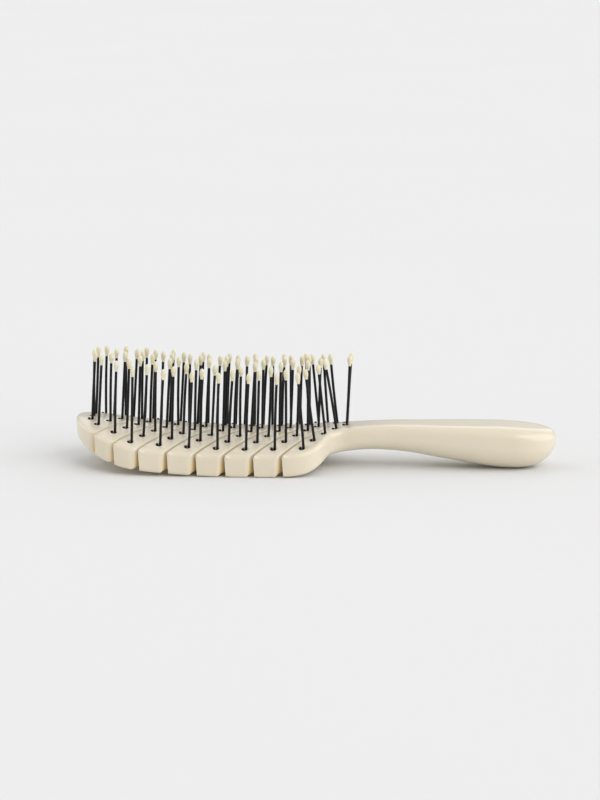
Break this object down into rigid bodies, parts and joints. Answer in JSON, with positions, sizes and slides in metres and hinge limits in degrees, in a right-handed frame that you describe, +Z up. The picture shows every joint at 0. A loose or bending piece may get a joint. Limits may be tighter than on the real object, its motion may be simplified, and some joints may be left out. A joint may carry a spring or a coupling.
{
  "type": "detangling hairbrush",
  "caption": "Slotted paddle-shaped hairbrush moulded in one piece with a turned-up tip and flat-topped handle, set with chevron lines of drop-tipped nylon pins.",
  "frame": {"origin": "on the floor under the middle of the overall length and width, which is where the brush rests", "axes": "+X along the brush from the head's tip to the handle end, +Z up out of the pin side, +Y across to the right-hand side as seen from the handle with the pins up"},
  "size_m": [0.22, 0.0616, 0.0527],
  "materials": {
    "moulding": "glossy ivory moulded plastic",
    "pin_nylon": "satin black nylon filament",
    "tip_resin": "semi-gloss cream dipped resin",
    "anchor_metal": "rolled flat wire"
  },
  "bodies": {
    "brush_body": {"body": "moulding", "pin_roots": "pin_nylon", "anchor_plates": "anchor_metal"},
    "left_line_2": {"left_pins_2": "pin_nylon", "left_tips_2": "tip_resin"},
    "left_line_3": {"left_pins_3": "pin_nylon", "left_tips_3": "tip_resin"},
    "left_line_4": {"left_pins_4": "pin_nylon", "left_tips_4": "tip_resin"},
    "left_line_5": {"left_pins_5": "pin_nylon", "left_tips_5": "tip_resin"},
    "left_line_6": {"left_pins_6": "pin_nylon", "left_tips_6": "tip_resin"},
    "left_line_7": {"left_pins_7": "pin_nylon", "left_tips_7": "tip_resin"},
    "left_line_8": {"left_pins_8": "pin_nylon", "left_tips_8": "tip_resin"},
    "left_line_9": {"left_pins_9": "pin_nylon", "left_tips_9": "tip_resin"},
    "left_line_10": {"left_pins_10": "pin_nylon", "left_tips_10": "tip_resin"},
    "right_line_2": {"right_pins_2": "pin_nylon", "right_tips_2": "tip_resin"},
    "right_line_3": {"right_pins_3": "pin_nylon", "right_tips_3": "tip_resin"},
    "right_line_4": {"right_pins_4": "pin_nylon", "right_tips_4": "tip_resin"},
    "right_line_5": {"right_pins_5": "pin_nylon", "right_tips_5": "tip_resin"},
    "right_line_6": {"right_pins_6": "pin_nylon", "right_tips_6": "tip_resin"},
    "right_line_7": {"right_pins_7": "pin_nylon", "right_tips_7": "tip_resin"},
    "right_line_8": {"right_pins_8": "pin_nylon", "right_tips_8": "tip_resin"},
    "right_line_9": {"right_pins_9": "pin_nylon", "right_tips_9": "tip_resin"},
    "right_line_10": {"right_pins_10": "pin_nylon", "right_tips_10": "tip_resin"},
    "front_line": {"front_pins": "pin_nylon", "front_tips": "tip_resin"},
    "middle_line_2": {"middle_pin_2": "pin_nylon", "middle_tip_2": "tip_resin"},
    "middle_line_3": {"middle_pin_3": "pin_nylon", "middle_tip_3": "tip_resin"},
    "middle_line_4": {"middle_pin_4": "pin_nylon", "middle_tip_4": "tip_resin"},
    "middle_line_5": {"middle_pin_5": "pin_nylon", "middle_tip_5": "tip_resin"},
    "middle_line_6": {"middle_pin_6": "pin_nylon", "middle_tip_6": "tip_resin"},
    "middle_line_7": {"middle_pin_7": "pin_nylon", "middle_tip_7": "tip_resin"},
    "middle_line_8": {"middle_pin_8": "pin_nylon", "middle_tip_8": "tip_resin"},
    "middle_line_9": {"middle_pin_9": "pin_nylon", "middle_tip_9": "tip_resin"},
    "middle_line_10": {"middle_pin_10": "pin_nylon", "middle_tip_10": "tip_resin"}
  },
  "joints": [
    {"name": "left_line_2_flex", "type": "hinge", "parent": "brush_body", "child": "left_line_2", "pos_m": [-0.0959, -0.00945, 0.02033], "axis": [0.589, 0.8067, 0.049], "range_deg": [-7, 7], "stiffness_Nm_per_rad": 0.038},
    {"name": "left_line_3_flex", "type": "hinge", "parent": "brush_body", "child": "left_line_3", "pos_m": [-0.08528, -0.0126, 0.01854], "axis": [0.588, 0.8053, 0.0759], "range_deg": [-7, 7], "stiffness_Nm_per_rad": 0.057},
    {"name": "left_line_4_flex", "type": "hinge", "parent": "brush_body", "child": "left_line_4", "pos_m": [-0.07466, -0.01575, 0.0166], "axis": [0.5851, 0.8014, 0.1243], "range_deg": [-7, 7], "stiffness_Nm_per_rad": 0.076},
    {"name": "left_line_5_flex", "type": "hinge", "parent": "brush_body", "child": "left_line_5", "pos_m": [-0.06174, -0.01575, 0.01556], "axis": [0.5839, 0.7997, 0.1397], "range_deg": [-7, 7], "stiffness_Nm_per_rad": 0.076},
    {"name": "left_line_6_flex", "type": "hinge", "parent": "brush_body", "child": "left_line_6", "pos_m": [-0.04882, -0.01575, 0.01487], "axis": [0.5826, 0.7979, 0.155], "range_deg": [-7, 7], "stiffness_Nm_per_rad": 0.076},
    {"name": "left_line_7_flex", "type": "hinge", "parent": "brush_body", "child": "left_line_7", "pos_m": [-0.0359, -0.01575, 0.01453], "axis": [0.5811, 0.7959, 0.1701], "range_deg": [-7, 7], "stiffness_Nm_per_rad": 0.076},
    {"name": "left_line_8_flex", "type": "hinge", "parent": "brush_body", "child": "left_line_8", "pos_m": [-0.02298, -0.01575, 0.01453], "axis": [0.5795, 0.7937, 0.1852], "range_deg": [-7, 7], "stiffness_Nm_per_rad": 0.076},
    {"name": "left_line_9_flex", "type": "hinge", "parent": "brush_body", "child": "left_line_9", "pos_m": [-0.01006, -0.01575, 0.01488], "axis": [0.5778, 0.7913, 0.2002], "range_deg": [-7, 3], "stiffness_Nm_per_rad": 0.076},
    {"name": "left_line_10_flex", "type": "hinge", "parent": "brush_body", "child": "left_line_10", "pos_m": [0.00286, -0.01575, 0.01565], "axis": [0.5751, 0.7877, 0.2208], "range_deg": [-3, 7], "stiffness_Nm_per_rad": 0.076},
    {"name": "right_line_2_flex", "type": "hinge", "parent": "brush_body", "child": "right_line_2", "pos_m": [-0.0959, 0.00945, 0.02033], "axis": [-0.589, 0.8067, -0.049], "range_deg": [-7, 7], "stiffness_Nm_per_rad": 0.038},
    {"name": "right_line_3_flex", "type": "hinge", "parent": "brush_body", "child": "right_line_3", "pos_m": [-0.08528, 0.0126, 0.01854], "axis": [-0.588, 0.8053, -0.0759], "range_deg": [-7, 7], "stiffness_Nm_per_rad": 0.057},
    {"name": "right_line_4_flex", "type": "hinge", "parent": "brush_body", "child": "right_line_4", "pos_m": [-0.07466, 0.01575, 0.0166], "axis": [-0.5851, 0.8014, -0.1243], "range_deg": [-7, 7], "stiffness_Nm_per_rad": 0.076},
    {"name": "right_line_5_flex", "type": "hinge", "parent": "brush_body", "child": "right_line_5", "pos_m": [-0.06174, 0.01575, 0.01556], "axis": [-0.5839, 0.7997, -0.1397], "range_deg": [-7, 7], "stiffness_Nm_per_rad": 0.076},
    {"name": "right_line_6_flex", "type": "hinge", "parent": "brush_body", "child": "right_line_6", "pos_m": [-0.04882, 0.01575, 0.01487], "axis": [-0.5826, 0.7979, -0.155], "range_deg": [-7, 7], "stiffness_Nm_per_rad": 0.076},
    {"name": "right_line_7_flex", "type": "hinge", "parent": "brush_body", "child": "right_line_7", "pos_m": [-0.0359, 0.01575, 0.01453], "axis": [-0.5811, 0.7959, -0.1701], "range_deg": [-7, 7], "stiffness_Nm_per_rad": 0.076},
    {"name": "right_line_8_flex", "type": "hinge", "parent": "brush_body", "child": "right_line_8", "pos_m": [-0.02298, 0.01575, 0.01453], "axis": [-0.5795, 0.7937, -0.1852], "range_deg": [-7, 7], "stiffness_Nm_per_rad": 0.076},
    {"name": "right_line_9_flex", "type": "hinge", "parent": "brush_body", "child": "right_line_9", "pos_m": [-0.01006, 0.01575, 0.01488], "axis": [-0.5778, 0.7913, -0.2002], "range_deg": [-7, 3], "stiffness_Nm_per_rad": 0.076},
    {"name": "right_line_10_flex", "type": "hinge", "parent": "brush_body", "child": "right_line_10", "pos_m": [0.00286, 0.01575, 0.01565], "axis": [-0.5751, 0.7877, -0.2208], "range_deg": [-3, 7], "stiffness_Nm_per_rad": 0.076},
    {"name": "front_line_flex", "type": "hinge", "parent": "brush_body", "child": "front_line", "pos_m": [-0.10192, 0, 0.02137], "axis": [0, 1, 0], "range_deg": [-7, 7], "stiffness_Nm_per_rad": 0.057},
    {"name": "middle_line_2_flex", "type": "hinge", "parent": "brush_body", "child": "middle_line_2", "pos_m": [-0.089, 0, 0.02024], "axis": [0, 1, 0], "range_deg": [-7, 7], "stiffness_Nm_per_rad": 0.019},
    {"name": "middle_line_3_flex", "type": "hinge", "parent": "brush_body", "child": "middle_line_3", "pos_m": [-0.07608, 0, 0.01882], "axis": [0, 1, 0], "range_deg": [-7, 7], "stiffness_Nm_per_rad": 0.019},
    {"name": "middle_line_4_flex", "type": "hinge", "parent": "brush_body", "child": "middle_line_4", "pos_m": [-0.06316, 0, 0.01774], "axis": [0, 1, 0], "range_deg": [-7, 7], "stiffness_Nm_per_rad": 0.019},
    {"name": "middle_line_5_flex", "type": "hinge", "parent": "brush_body", "child": "middle_line_5", "pos_m": [-0.05024, 0, 0.01701], "axis": [0, 1, 0], "range_deg": [-7, 7], "stiffness_Nm_per_rad": 0.019},
    {"name": "middle_line_6_flex", "type": "hinge", "parent": "brush_body", "child": "middle_line_6", "pos_m": [-0.03732, 0, 0.01663], "axis": [0, 1, 0], "range_deg": [-7, 7], "stiffness_Nm_per_rad": 0.019},
    {"name": "middle_line_7_flex", "type": "hinge", "parent": "brush_body", "child": "middle_line_7", "pos_m": [-0.0244, 0, 0.0166], "axis": [0, 1, 0], "range_deg": [-7, 7], "stiffness_Nm_per_rad": 0.019},
    {"name": "middle_line_8_flex", "type": "hinge", "parent": "brush_body", "child": "middle_line_8", "pos_m": [-0.01148, 0, 0.01691], "axis": [0, 1, 0], "range_deg": [-7, 7], "stiffness_Nm_per_rad": 0.019},
    {"name": "middle_line_9_flex", "type": "hinge", "parent": "brush_body", "child": "middle_line_9", "pos_m": [0.00144, 0, 0.01757], "axis": [0, 1, 0], "range_deg": [-7, 7], "stiffness_Nm_per_rad": 0.019},
    {"name": "middle_line_10_flex", "type": "hinge", "parent": "brush_body", "child": "middle_line_10", "pos_m": [0.01436, 0, 0.01855], "axis": [0, 1, 0], "range_deg": [-7, 7], "stiffness_Nm_per_rad": 0.019}
  ]
}
